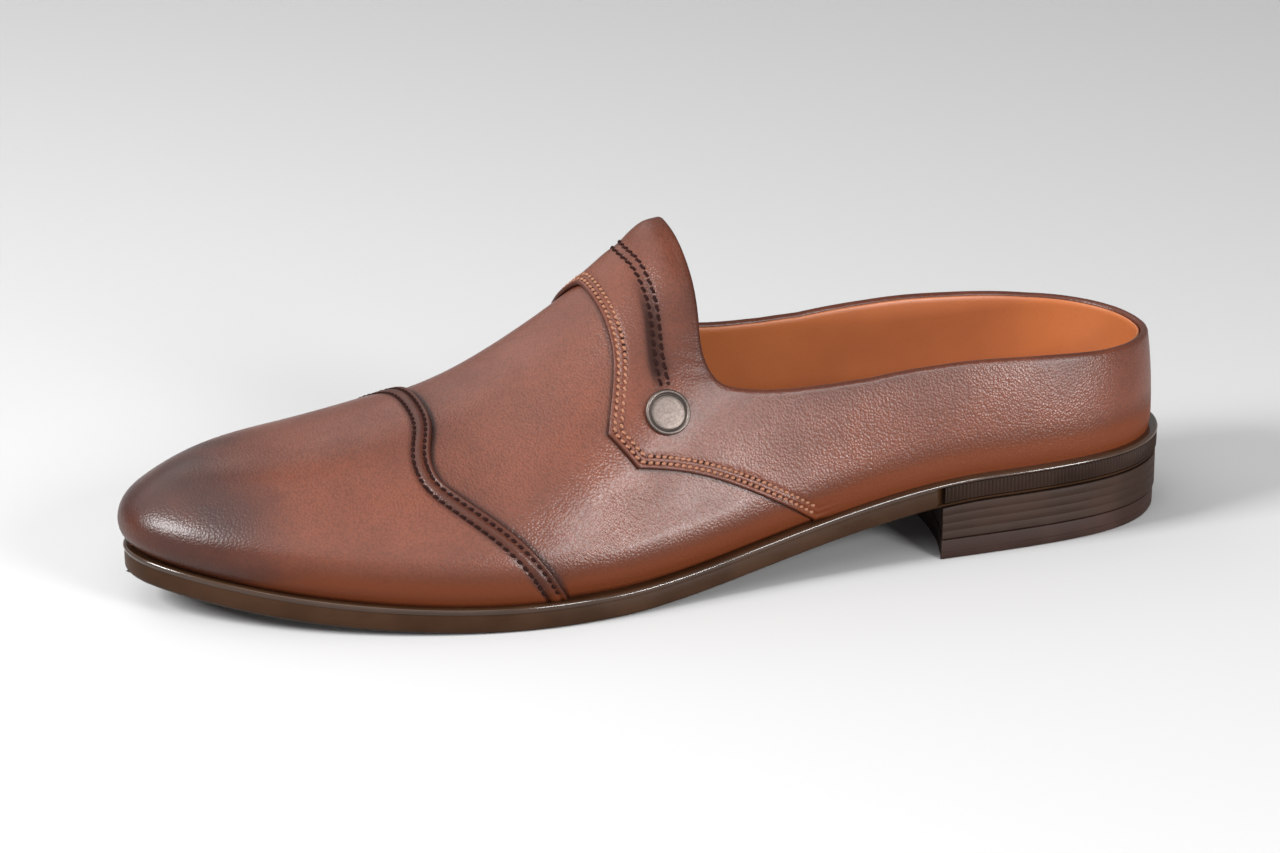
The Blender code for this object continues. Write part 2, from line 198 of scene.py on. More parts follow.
def slab(share, inset, rows, level, hollow=0.0):
    """Points round a slab's section at each station: the outer half up, then the inner half down.

    share and inset have a column for each point of the half section; level gives the height."""
    halves = []
    middle = (outline(1, rows)[0] + outline(-1, rows)[0])[:, None] / 2
    for side in (1, -1):
        edge, _ = outline(side, rows[:, None], inset)
        plan = middle + share[:, None] * (edge - middle)
        breast = hollow * (rows / rows[-1])[:, None] ** 2 * (1 - share ** 2)
        plan[..., 0] -= breast
        halves.append(np.concatenate([plan, level(plan[..., 0])[..., None]], -1))
    return np.concatenate([halves[0], halves[1][:, ::-1]], 1)


def add_sheet(mesh, points):
    """Flat grid bent to the points, one vertex for each."""
    rows, columns = points.shape[:2]
    made = bmesh.ops.create_grid(mesh, x_segments=columns - 1, y_segments=rows - 1, size=1)
    for vert, spot in zip(made["verts"], to_metres(points.reshape(-1, 3))):
        vert.co = spot


def finished(name, mesh, look, sharp=40, turn=True):
    """Weld the seams and poles, point the faces outwards and make the object."""
    bmesh.ops.remove_doubles(mesh, verts=mesh.verts, dist=WELD)
    bmesh.ops.dissolve_degenerate(mesh, edges=mesh.edges, dist=WELD)
    if turn:
        bmesh.ops.recalc_face_normals(mesh, faces=mesh.faces)
    data = bpy.data.meshes.new(name)
    mesh.to_mesh(data)
    mesh.free()
    data.shade_smooth()
    data.set_sharp_from_angle(angle=math.radians(sharp))
    data.materials.append(look)
    piece = bpy.data.objects.new(name, data)
    bpy.context.collection.objects.link(piece)
    return piece


class Shade:
    """A shader socket that takes part in sums; its node method adds any other node."""

    def __init__(self, tree, socket=None):
        self.tree = tree
        self.socket = socket

    def node(self, kind, settings, sockets, output=0):
        made = self.tree.nodes.new("ShaderNode" + kind)
        for name, value in settings.items():
            setattr(made, name, value)
        for name, value in sockets.items():
            if isinstance(value, Shade):
                self.tree.links.new(value.socket, made.inputs[name])
            else:
                made.inputs[name].default_value = value
        return Shade(self.tree, made.outputs[output])

    def maths(self, operation, first, second):
        return self.node("Math", {"operation": operation}, {0: first, 1: second})

    def __add__(self, other):
        return self.maths("ADD", self, other)

    def __sub__(self, other):
        return self.maths("SUBTRACT", self, other)

    def __rsub__(self, other):
        return self.maths("SUBTRACT", other, self)

    def __mul__(self, other):
        return self.maths("MULTIPLY", self, other)

    def __truediv__(self, other):
        return self.maths("DIVIDE", self, other)

    __radd__ = __add__
    __rmul__ = __mul__

    def step(self, low, high):
        """Soft step from 0 at low to 1 at high."""
        spans = {"Value": self, "From Min": low, "From Max": high}
        return self.node("MapRange", {"interpolation_type": "SMOOTHSTEP"}, spans)

    def blend(self, colour, other):
        """Mix of two colours by this value; each is a socket, or red, green and blue."""
        first, second = (c if isinstance(c, Shade) else (*c, 1) for c in (colour, other))
        return self.node("Mix", {"data_type": "RGBA"}, {0: self, 6: first, 7: second}, 2)


def new_look(name, **fixed):
    """Material with its shader's plain values set; returns it with a free Shade and the shader."""
    look = bpy.data.materials.new(name)
    look.use_nodes = True
    shader = look.node_tree.nodes["Principled BSDF"]
    for socket, value in fixed.items():
        shader.inputs[socket.replace("_", " ")].default_value = value
    return look, Shade(look.node_tree), shader


def wire(shade, shader, colour, rough, height):
    """Join colour, roughness and a bump height in mm to the shader."""
    shade.tree.links.new(colour.socket, shader.inputs["Base Color"])
    shade.tree.links.new(rough.socket, shader.inputs["Roughness"])
    bump = shade.node("Bump", {}, {"Strength": 1.0, "Distance": MM, "Height": height})
    shade.tree.links.new(bump.socket, shader.inputs["Normal"])


def noise(shade, where, scale, detail=3.0):
    return shade.node("TexNoise", {}, {"Vector": where, "Scale": scale, "Detail": detail})


def marked(mesh, **marks):
    """Keep numbers for each vertex under the marks' names, for its material."""
    layers = [mesh.verts.layers.float.new(name) for name in marks]
    for vert, values in zip(mesh.verts, np.column_stack([np.ravel(mark) for mark in marks.values()])):
        for layer, value in zip(layers, values):
            vert[layer] = value


def rubber(name, dark, pale, rough, streaks):
    """Moulded rubber: cloudy dark brown, a little dusty, with fine lines lying flat in its side.

    Where it is marked as polished it has a clear gloss."""
    look, shade, shader = new_look(name, Specular_IOR_Level=0.09, Coat_Roughness=0.12)
    polish = shade.node("Attribute", {"attribute_name": "polish"}, {}, "Fac")
    shade.tree.links.new(polish.socket, shader.inputs["Coat Weight"])
    where = shade.node("TexCoord", {}, {}, "Object")
    cloud = noise(shade, where, 70).step(0.35, 0.7)
    flat = shade.node("Mapping", {}, {"Vector": where, "Scale": (40, 40, 1400)})
    lines = noise(shade, flat, 1.0, 4.0)
    fine = noise(shade, where, 2600, 2.0)
    colour = (cloud * 0.6 + lines * streaks).blend(dark, pale)
    wire(shade, shader, colour, cloud * 0.1 + lines * 0.12 + rough, fine * 0.008 + lines * (0.05 * streaks))
    return look


def rand_seat(x):
    """The sole steps back under the ribbed strip at the heel."""
    return RAND_SEAT * np.clip((BREAST_X + SEAT_RAMP - x) / SEAT_RAMP, 0, 1)


sole_rows = np.sort(np.append(np.linspace(0, 1, SOLE_ROWS), station([BREAST_X, BREAST_X + SEAT_RAMP])))
section = {name: column(SOLE_SECTION, SOLE_SECTION_COLUMNS, name) for name in SOLE_SECTION_COLUMNS}
sole_inset = np.maximum(section["inset"], section["seat"] * rand_seat(from_heel(sole_rows))[:, None])
sole_points = slab(section["share"], sole_inset, sole_rows, lambda x: sole_line(x) + section["height"])
toe_lip = np.clip((sole_points[..., 0] - LIP_FROM) / (LENGTH - LIP_FROM), 0, 1)
sole_points[..., 0] += TOE_LIP * toe_lip ** 2
sole_mesh = bmesh.new()
add_sheet(sole_mesh, sole_points)
rim = np.concatenate([section["height"], section["height"][::-1]]) > RIM_FROM
marked(sole_mesh, polish=np.broadcast_to(rim * RIM_POLISH, sole_points.shape[:2]))
sole_look = rubber("moulded sole rubber", (0.021, 0.0090, 0.0038), (0.034, 0.0155, 0.0075), 0.30, 0.25)
moulded_sole = finished("moulded_sole", sole_mesh, sole_look)
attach(moulded_sole, "root")
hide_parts("outsole")


# Ribbed strip: a moulded rubber band pressed into the side of the heel seat, from breast to breast.
# Its fine upright ribs copy the wheeled edge of a leather sole.
RIB_PITCH, RIB_DEPTH = 1.1, 0.32
RAND_LOW, RAND_HIGH = 1.2, 5.6
RIB_FORM = (0.0, 0.25, 1.0, 0.25)
STRIP_CLEAR = 0.5


def run_along(line):
    """Distance of each point of a line from its start, along the line."""
    return np.concatenate([[0], np.cumsum(np.linalg.norm(np.diff(line, axis=0), axis=1))])


strip_s = np.linspace(0, station(BREAST_X - STRIP_CLEAR), 600)
strip_sides = [outline(side, strip_s) for side in (1, -1)]
strip_path = np.concatenate([strip_sides[0][0][::-1], strip_sides[1][0][1:]])
strip_out = np.concatenate([strip_sides[0][1][::-1], strip_sides[1][1][1:]])
strip_run = run_along(strip_path)
rib_count = int(strip_run[-1] / RIB_PITCH)
rib_at = np.linspace(0, strip_run[-1], len(RIB_FORM) * rib_count + 1)
strip_path = np.column_stack([np.interp(rib_at, strip_run, strip_path[:, k]) for k in (0, 1)])
strip_out = np.column_stack([np.interp(rib_at, strip_run, strip_out[:, k]) for k in (0, 1)])
dip = RIB_DEPTH * np.resize(RIB_FORM, len(rib_at))
# Columns: inset, height over the sole line, and 1 where the ribs are cut.
STRIP_SECTION = [(1.4, RAND_LOW, 0), (0.45, RAND_LOW, 0), (0.22, RAND_LOW + 0.25, 1),
                 (0.18, RAND_HIGH - 0.25, 1), (0.45, RAND_HIGH, 0), (1.4, RAND_HIGH, 0), (1.4, RAND_LOW, 0)]
strip_columns = []
for inset, height, ribbed in STRIP_SECTION:
    plan = strip_path - strip_out * (inset + ribbed * dip)[:, None]
    strip_columns.append(np.column_stack([plan, sole_line(plan[:, 0]) + height]))
strip_mesh = bmesh.new()
add_sheet(strip_mesh, np.stack(strip_columns, 1))
bmesh.ops.remove_doubles(strip_mesh, verts=strip_mesh.verts, dist=WELD)
bmesh.ops.holes_fill(strip_mesh, edges=[e for e in strip_mesh.edges if e.is_boundary])
strip_look = rubber("ribbed strip rubber", (0.0115, 0.0055, 0.0034), (0.021, 0.0105, 0.0068), 0.40, 0.1)
ribbed_strip = finished("ribbed_strip", strip_mesh, strip_look)
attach(ribbed_strip, "root")
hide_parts("heel_rand")


# Stacked heel: thin lifts pressed together and trimmed flush, with a hollow breast.
# The seams between the lifts show as fine level grooves, and a rubber top piece closes the bottom.
BREAST_HOLLOW = 6.0
HEEL_INSET, TOP_PIECE = 0.9, 5.6
LIFT_INSET = HEEL_INSET - 0.4
FLAT_STEPS = 7
LIFTS, SEAM_DEPTH, SEAM_HALF = 4, 0.07, 0.016
heel_rows = np.linspace(0, station(BREAST_X), 90)


def heel_slab(heights, insets, level):
    """Slab under the heel seat, its hollow breast closed by a wall."""
    flat_shares = np.linspace(0, 1, FLAT_STEPS + 1)
    share = np.concatenate([flat_shares, np.ones(len(heights) - 2), flat_shares[::-1]])
    rise = np.pad(heights, FLAT_STEPS, mode="edge")
    inset = np.pad(insets, FLAT_STEPS, mode="edge")
    points = slab(share, inset[None, :], heel_rows, lambda x: level(x, rise), BREAST_HOLLOW)
    wall = points[-1:].copy()
    wall[..., 2] = level(wall[..., 0], np.full(wall.shape[1], np.mean([heights[0], heights[-1]])))
    return np.concatenate([points, wall])


def stack_level(x, share):
    foot = TOP_PIECE + GAP
    return foot + share * (sole_line(x) - GAP - foot)


lift_heights, lift_insets = [0.0, 0.03], [HEEL_INSET, LIFT_INSET + 0.05]
for k in range(1, LIFTS):
    seam = k / LIFTS
    lift_heights += [seam - SEAM_HALF, seam, seam + SEAM_HALF]
    lift_insets += [LIFT_INSET, LIFT_INSET + SEAM_DEPTH, LIFT_INSET]
lift_heights += [0.97, 1.0]
lift_insets += [LIFT_INSET, LIFT_INSET + 0.15]
stack_mesh = bmesh.new()
add_sheet(stack_mesh, heel_slab(np.array(lift_heights), np.array(lift_insets), stack_level))
stack_look = rubber("stacked heel lifts", (0.0135, 0.0068, 0.0046), (0.027, 0.0145, 0.0100), 0.45, 0.7)
stacked_heel = finished("stacked_heel", stack_mesh, stack_look, sharp=30)
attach(stacked_heel, "root")
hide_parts("heel_block")

# Top piece: the wearing layer of hard rubber fixed under the stack.
# It is moulded a little prouder than the lifts, and a fine mould line runs round it low down.
top_heights = np.array([0.0, 0.15, 0.6, 1.9, 2.05, 2.2, 5.1, 5.45, 5.6])
top_insets = np.array([0.7, 0.35, 0.1, 0.05, 0.16, 0.02, 0.0, 0.12, 0.45]) + HEEL_INSET
top_mesh = bmesh.new()
add_sheet(top_mesh, heel_slab(top_heights, top_insets, lambda x, rise: np.broadcast_to(rise, x.shape)))
top_look = rubber("top piece rubber", (0.0185, 0.0095, 0.0072), (0.035, 0.0185, 0.0145), 0.45, 0.3)
rubber_top_piece = finished("rubber_top_piece", top_mesh, top_look, sharp=30)
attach(rubber_top_piece, "root")
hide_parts("heel_top_piece")


# Sock: a full-length cushion of tan leather over thin foam, glued to the sole inside the lining.
# It is skived and rolled at the edge, dished a little under the heel and the ball of the foot.
SOCK_INSET, SOCK_THICK = 6.2, 3.0
SOCK_SECTION_COLUMNS = ("share", "inset", "height")
SOCK_SECTION = [
    (0.00, 0.9, 0.00),
    (0.50, 0.9, 0.00),
    (1.00, 0.9, 0.00),
    (1.00, 0.2, 0.25),
    (1.00, 0.0, 0.90),
    (1.00, 0.15, 1.55),
    (1.00, 0.60, 2.05),
    (1.00, 1.40, 2.40),
    (1.00, 2.60, 2.62),
    (1.00, 4.50, 2.74),
    (0.80, 2.60, 2.85),
    (0.55, 2.60, 2.90),
    (0.30, 2.60, 2.92),
    (0.00, 2.60, 2.92),
]
TAN = (0.33, 0.100, 0.031)
TAN_DEEP = (0.235, 0.063, 0.018)
# Columns: distance from the heel, half length and depth of a dish.
SOCK_DISHES = [(42.0, 26.0, 0.55), (198.0, 30.0, 0.40)]


def tan_leather(name, rough):
    """Vegetable-tanned lining leather: orange tan, cloudy, with small pores and a dry gloss."""
    look, shade, shader = new_look(name, Coat_Weight=0.06, Coat_Roughness=0.4)
    where = shade.node("TexCoord", {}, {}, "Object")
    cloud = noise(shade, where, 28, 3.0).step(0.25, 0.85)
    pores = shade.node("TexVoronoi", {}, {"Vector": where, "Scale": 900.0})
    creased = noise(shade, where, 260, 3.0)
    colour = cloud.blend(TAN, TAN_DEEP)
    colour = (pores.step(0.0, 0.25) * 0.75 + 0.25).blend(TAN_DEEP, colour)
    height = pores.step(0.0, 0.5) * 0.018 + creased * 0.03
    wire(shade, shader, colour, cloud * 0.12 + rough, height)
    return look


sock = {name: column(SOCK_SECTION, SOCK_SECTION_COLUMNS, name) for name in SOCK_SECTION_COLUMNS}


def bell(distance, half):
    """Soft hump: 1 at no distance, falling off over the half width."""
    return np.exp(-(distance / half) ** 2)


def sock_level(x):
    """Height of the sock over the sole, pressed down a little at the heel and under the ball."""
    dish = sum(depth * bell(x - middle, half) for middle, half, depth in SOCK_DISHES)
    dish = dish * (1 - sock["share"] ** 4) * (sock["height"] / SOCK_THICK)
    return sole_line(x) + SOLE_THICK + GAP + sock["height"] - dish


sock_mesh = bmesh.new()
sock_inset = (sock["inset"] + SOCK_INSET)[None, :]
add_sheet(sock_mesh, slab(sock["share"], sock_inset, np.linspace(0, 1, 161), sock_level))
padded_sock = finished("padded_sock", sock_mesh, tan_leather("tan sock leather", 0.42))
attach(padded_sock, "root")
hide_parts("insole")


# Lining: tan leather that lines the whole upper, turned over at the collar and joined at the back.
# It is cut to the last, so the shape of the last comes in here, with the lines of the panels on it.
FEATHER = 2.5
TOE_LAG, TOE_LAG_FROM = 30.0, 200.0
HEEL_LEAD, HEEL_LEAD_TO = 36.0, 80.0
LAST_COLUMNS = ("x", "ridge_z", "ridge_y", "width_power", "height_power", "swell")
LAST = [
    (20.0, 106.0, -3.0, 2.00, 2.00, 0.4),
    (60.0, 106.0, -4.0, 2.00, 2.00, 0.5),
    (100.0, 104.0, -5.5, 1.98, 1.90, 0.9),
    (130.0, 96.5, -6.7, 1.90, 1.75, 1.8),
    (145.0, 89.8, -7.0, 1.90, 1.72, 2.3),
    (163.0, 75.8, -7.0, 1.93, 1.80, 2.5),
    (180.0, 63.9, -6.8, 1.98, 1.87, 2.4),
    (200.0, 52.6, -6.4, 2.05, 1.97, 2.0),
    (220.0, 46.0, -5.8, 2.20, 2.13, 1.8),
    (240.0, 41.5, -5.3, 2.55, 2.48, 2.6),
    (260.0, 39.2, -5.0, 3.20, 3.10, 3.5),
]
# Panel lines, row by row from the ridge down to the sole; a rise runs from 0 at the sole to 1.
PANEL_COLUMNS = ("collar_x", "collar_rise", "quarter_x", "quarter_rise", "cap_x", "cap_rise")
PANELS = [
    (141.2, 1.000, 164.5, 1.000, 210.3, 1.000),
    (140.6, 0.868, 163.8, 0.895, 210.2, 0.915),
    (139.8, 0.752, 163.0, 0.765, 210.9, 0.800),
    (139.4, 0.650, 163.1, 0.655, 213.2, 0.705),
    (139.8, 0.565, 164.7, 0.573, 214.8, 0.625),
    (140.2, 0.493, 167.2, 0.496, 214.6, 0.551),
    (138.0, 0.424, 168.9, 0.442, 212.3, 0.485),
    (132.7, 0.379, 162.1, 0.320, 205.9, 0.381),
    (123.9, 0.340, 141.0, 0.214, 199.4, 0.286),
    (114.9, 0.311, 121.0, 0.078, 191.8, 0.160),
    (105.9, 0.288, 111.5, 0.000, 184.0, 0.000),
]
QUARTER_CORNERS = (6, 7)
INNER_FORWARD = {"collar": 0.0, "quarter": 5.0, "cap": 1.0}
BACK_COLUMNS = ("x", "collar_rise")
BACK = [(95.0, 0.268), (75.0, 0.252), (50.0, 0.238), (25.0, 0.222), (0.0, 0.210)]
FRONT_ROWS = len(PANELS) - 1
RING_ROWS = FRONT_ROWS + len(BACK)
last_curve = curve(column(LAST, LAST_COLUMNS, "x"), np.array(LAST)[:, 1:])


def last(side, s, rise):
    """Point on the last: a rib from the feather line up to the ridge."""
    foot, _ = outline(side, s, FEATHER)
    x = from_heel(s)
    toeward = np.clip((x - TOE_LAG_FROM) / (LENGTH - TOE_LAG_FROM), 0, None)
    heelward = np.clip((HEEL_LEAD_TO - x) / HEEL_LEAD_TO, 0, None)
    ridge_x = x - TOE_LAG * toeward ** 2 + HEEL_LEAD * heelward ** 2
    ridge_z, ridge_y, wide, high, swell = np.moveaxis(last_curve(ridge_x), -1, 0)
    fall = last_curve(ridge_x, slope=True)[..., 0]
    ridge = np.stack([ridge_x, ridge_y], -1)
    angle = np.clip(rise, 0, 1) * np.pi / 2
    across = np.clip(np.cos(angle), 0, 1) ** (2 / wide)
    up = np.clip(np.sin(angle), 0, 1) ** (2 / high)
    reach = foot - ridge
    out = reach / np.linalg.norm(reach, axis=-1, keepdims=True)
    # The factor brings the peak of the bulge to one swell.
    bulge = swell * 6.75 * up * (1 - up) ** 2
    plan = ridge + across[..., None] * reach + bulge[..., None] * out
    foot_z = sole_line(foot[..., 0]) + SOLE_THICK + GAP
    depth = ridge_z + fall * reach[..., 0] - foot_z
    z = ridge_z + fall * (plan[..., 0] - ridge_x) - depth * (1 - up)
    return np.concatenate([plan, z[..., None]], -1)


def skin(s, w):
    """Point on the last; w runs from -1 at the inner feather line, over the ridge, to 1 at the outer."""
    s, w = np.broadcast_arrays(np.asarray(s, float), np.asarray(w, float))
    past = (s < 0) | (s > 1)
    w = np.where(past, -w, w)
    s = np.abs(s)
    s = np.where(s > 1, 2 - s, s)
    rise = 1 - np.abs(w)
    return np.where((w >= 0)[..., None], last(1, s, rise), last(-1, s, rise))


def outward(s, w):
    """Outward direction of the last's surface."""
    pole = (s > 0.999) & (np.abs(w) < 0.004)
    s = np.where(pole, 0.985, s)
    along = skin(s + 0.002, w) - skin(s - 0.002, w)
    down = skin(s, np.clip(w + 0.004, -1, 1)) - skin(s, np.clip(w - 0.004, -1, 1))
    way = np.cross(along, down)
    return way / np.linalg.norm(way, axis=-1, keepdims=True)


def panel_line(name, rows):
    """Stations and shares along one panel line; it runs smoothly over the ridge, its corners sharp."""
    x = column(PANELS, PANEL_COLUMNS, name + "_x")
    rise = column(PANELS, PANEL_COLUMNS, name + "_rise")
    forward = INNER_FORWARD[name]
    inner_x = x + forward * np.clip(np.arange(len(x)) / 2, 0, 1)
    whole_x = np.concatenate([inner_x[:0:-1], x])
    whole_w = np.concatenate([rise[:0:-1] - 1, 1 - rise])
    knots = np.arange(-FRONT_ROWS, FRONT_ROWS + 1)
    corners = QUARTER_CORNERS if name == "quarter" else ()
    cuts = [-FRONT_ROWS, *(-c for c in reversed(corners)), *corners, FRONT_ROWS]
    result = np.zeros((len(rows), 2))
    for a, b in zip(cuts[:-1], cuts[1:]):
        inside = (rows >= a) & (rows <= b)
        part = slice(a + FRONT_ROWS, b + FRONT_ROWS + 1)
        result[inside] = curve(knots[part], np.column_stack([whole_x, whole_w])[part])(rows[inside])
    return np.column_stack([station(result[:, 0]), np.clip(result[:, 1], -1, 1)])


def ring_lines(rows):
    """The collar and the quarter's lower edge, from the back of the heel right round to it again."""
    back = np.abs(rows) > FRONT_ROWS
    front_rows = np.clip(rows, -FRONT_ROWS, FRONT_ROWS)
    collar = panel_line("collar", front_rows)
    lower = panel_line("quarter", front_rows)
    past = np.abs(rows[back]) - FRONT_ROWS
    side = np.sign(rows[back])
    knots = np.arange(len(BACK) + 1)
    back_x = np.concatenate([[PANELS[-1][0]], column(BACK, BACK_COLUMNS, "x")])
    back_rise = np.concatenate([[PANELS[-1][1]], column(BACK, BACK_COLUMNS, "collar_rise")])
    collar[back, 0] = np.interp(past, knots, station(back_x))
    collar[back, 1] = side * (1 - curve(knots, back_rise)(past))
    lower[back, 0] *= 1 - past / len(BACK)
    lower[back, 1] = side
    return collar, lower


def measure(points, line):
    """Distance of each point from a line of points, and how far along the line it lies."""
    tree = kdtree.KDTree(len(line))
    for i, spot in enumerate(line):
        tree.insert(spot, i)
    tree.balance()
    flat = points.reshape(-1, 3)
    near = np.array([tree.find(spot)[1] for spot in flat])
    run = run_along(line)
    best = np.full(len(flat), np.inf)
    along = np.zeros(len(flat))
    for shift in (-1, 0):
        start = np.clip(near + shift, 0, len(line) - 2)
        leg = line[start + 1] - line[start]
        long = np.maximum(np.linalg.norm(leg, axis=1), 1e-9)
        t = np.clip(np.sum((flat - line[start]) * leg, 1) / long ** 2, 0, 1)
        far = np.linalg.norm(flat - line[start] - leg * t[:, None], axis=1)
        closer = far < best
        best[closer] = far[closer]
        along[closer] = (run[start] + t * long)[closer]
    return best.reshape(points.shape[:-1]), along.reshape(points.shape[:-1])


def spread(lines, count, near=(), far=()):
    """Stations and shares on paths from line to line.

    Columns lie at set distances from the first line and from the last, and evenly between."""
    t = np.linspace(0, 1, 60)[None, :, None]
    legs = [a[:, None] * (1 - t) + b[:, None] * t for a, b in zip(lines[:-1], lines[1:])]
    path = np.concatenate([legs[0]] + [leg[:, 1:] for leg in legs[1:]], 1)
    spots = skin(path[..., 0], path[..., 1])
    run = np.cumsum(np.linalg.norm(np.diff(spots, axis=1, prepend=spots[:, :1]), axis=-1), 1)
    from_first = measure(spots, spots[:, 0])[0] if len(near) else None
    from_last = measure(spots, spots[:, -1])[0][:, ::-1] if len(far) else None
    grid = np.zeros((len(path), len(near) + count + len(far), 2))
    for i, steps in enumerate(run):
        head, tail = [0.0], [steps[-1]]
        if len(near):
            head = np.interp(near, np.maximum.accumulate(from_first[i]), steps)
        if len(far):
            tail = steps[-1] - np.interp(far, np.maximum.accumulate(from_last[i]), steps[-1] - steps[::-1])
        skip = (1 if len(near) else 0, -1 if len(far) else None)
        middle = np.linspace(head[-1], tail[-1], count + sum(bool(len(k)) for k in (near, far)))
        ends = (head if len(near) else [], tail[::-1] if len(far) else [])
        place = np.concatenate([ends[0], middle[skip[0]:skip[1]], ends[1]])
        grid[i] = np.column_stack([np.interp(place, steps, path[i, :, k]) for k in (0, 1)])
    return grid


# Creases of wear and lasting: soft troughs below zero and ridges above it, each along a short line.
# Columns: from_x, from_w, to_x, to_w, width, depth.
CREASES = [
    (141.0, -0.32, 141.0, 0.32, 3.4, -1.30),
    (152.5, -0.44, 151.3, 0.50, 2.6, -0.45),
    (146.0, -0.30, 145.0, 0.36, 3.6, 0.35),
    (148.5, 0.44, 140.5, 0.50, 1.4, -0.12),
    (148.0, 0.48, 138.5, 0.545, 1.4, -0.15),
    (148.0, 0.52, 136.0, 0.585, 1.4, -0.11),
    (176.0, 0.06, 186.0, 0.16, 5.0, -0.35),
    (184.0, -0.10, 192.0, 0.05, 5.0, 0.25),
    (171.0, 0.72, 158.0, 0.80, 3.0, -0.20),
]
TUCK, TUCK_HIGH = 0.4, 4.0
CREASE_STEPS, CREASE_FADE = 30, 0.7
FULLNESS, FULL_AT, FULL_HALF = 1.5, 9.0, 6.8
FULL_FROM, FULL_RAMP = 80.0, 60.0
LASTED_SINK, AT_FEATHER = 0.7, 0.999


def above_sole(spots):
    """Height of points on the last over the top of the sole."""
    return spots[..., 2] - sole_line(spots[..., 0]) - SOLE_THICK - GAP


def relief(spots):
    """Height of the leather over the plain last: a full low wall tucked in at the sole, and creases."""
    low = above_sole(spots)
    full = FULLNESS * np.clip((spots[..., 0] - FULL_FROM) / FULL_RAMP, 0, 1)
    total = full * bell(low - FULL_AT, FULL_HALF) - TUCK * np.clip(1 - low / TUCK_HIGH, 0, 1) ** 2
    for from_x, from_w, to_x, to_w, width, depth in CREASES:
        x = np.linspace(from_x, to_x, CREASE_STEPS)
        line = skin(station(x), np.linspace(from_w, to_w, CREASE_STEPS))
        off, along = measure(spots, line)
        whole = run_along(line)[-1]
        fade = np.sin(np.pi * np.clip(along / whole, 0, 1)) ** CREASE_FADE
        total += depth * fade * bell(off, width)
    return total


def laid(grid, lift):
    """Points over the last's skin at a grid of stations and shares, and the skin's own points.

    The lasted edge sinks into the shelf of the sole."""
    spots = skin(grid[..., 0], grid[..., 1])
    points = spots + outward(grid[..., 0], grid[..., 1]) * (lift + relief(spots))[..., None]
    points[..., 2] -= LASTED_SINK * (np.abs(grid[..., 1]) > AT_FEATHER)
    return points, spots


def thick(piece, wall):
    """Give a sheet its real thickness, away from its face."""
    solid = piece.modifiers.new("thickness", "SOLIDIFY")
    solid.thickness = wall * MM
    solid.offset = -1.0
    return piece


FRONT_FINE, BACK_FINE = 24, 22
front_rows = np.linspace(-FRONT_ROWS, FRONT_ROWS, FRONT_FINE * FRONT_ROWS + 1)
back_rows = np.linspace(FRONT_ROWS, RING_ROWS, BACK_FINE * len(BACK) + 1)[1:]
ring_rows = np.concatenate([-back_rows[::-1], front_rows, back_rows])
collar_line, lower_line = ring_lines(ring_rows)
quarter_line = panel_line("quarter", front_rows)
cap_line = panel_line("cap", front_rows)
toe_line = np.column_stack([np.ones(len(front_rows)), cap_line[:, 1]])

LINING_LIFT, LINING_WALL = -3.0, 0.5
LINING_STEPS, TOE_STEPS = 26, 70
EDGE_COLUMNS = ("distance", "lift")
LINING_ROLL = [(1.5, -2.0), (0.85, -2.1), (0.62, -2.4), (0.75, -2.75), (1.2, -2.95), (2.0, -3.0)]
lining_mesh = bmesh.new()
roll = column(LINING_ROLL, EDGE_COLUMNS, "distance")
lift = np.concatenate([column(LINING_ROLL, EDGE_COLUMNS, "lift"), np.full(LINING_STEPS, LINING_LIFT)])
add_sheet(lining_mesh, laid(spread([collar_line, lower_line], LINING_STEPS, near=roll), lift)[0])
front_grid = spread([quarter_line, cap_line, toe_line], TOE_STEPS)
add_sheet(lining_mesh, laid(front_grid, np.full(TOE_STEPS, LINING_LIFT))[0])
bmesh.ops.reverse_faces(lining_mesh, faces=lining_mesh.faces)
leather_lining = finished("leather_lining", lining_mesh, tan_leather("tan lining leather", 0.40), turn=False)
thick(leather_lining, LINING_WALL)
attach(leather_lining, "root")


# Vamp: the middle panel of brown calf, lasted over the toe and caught under the cap and the quarter.
# Its grain is pebbled and waxed, darker where it was burnished beside the seams, with painted shade along
# the lapped edges.
BROWN = (0.112, 0.0313, 0.0160)
BROWN_DEEP = (0.086, 0.0231, 0.0117)
# Dark colour of burnish, of painted shade at edges, folds and needle holes, and of the pores.
BURNISH_AND_SHADE = (0.022, 0.0060, 0.0040)
# Painted shade for the band just above the sole, where the wall turns under: waxed colour, then matte
# colour.
LOW_SHADE_AMBER = (0.068, 0.0150, 0.0018)
LOW_SHADE_MATTE = (0.092, 0.0225, 0.0080)
# Dark matte colour for rubbed places, for painted shade and for needle holes painted as shade.
SMEAR_AND_SHADE = (0.014, 0.0044, 0.0030)
UNDERLAP = 8.0
VAMP_LIFT, VAMP_WALL, VAMP_STEPS = -1.0, 0.6, 72
# Height in mm that the painted shade above the sole reaches, and how it fades.
LOW_SHADE_HIGH, LOW_SHADE_POWER = 15.0, 1.3
# Squares of the distances in mm from a needle hole where its painted shade starts to fade and ends.
HOLE_FROM, HOLE_TO = 0.10, 0.38


def low_glow(spots):
    """Painted shade: warmer, darker colour in the band just above the sole, where the wall turns under."""
    return np.clip(1 - above_sole(spots) / LOW_SHADE_HIGH, 0, 1) ** LOW_SHADE_POWER


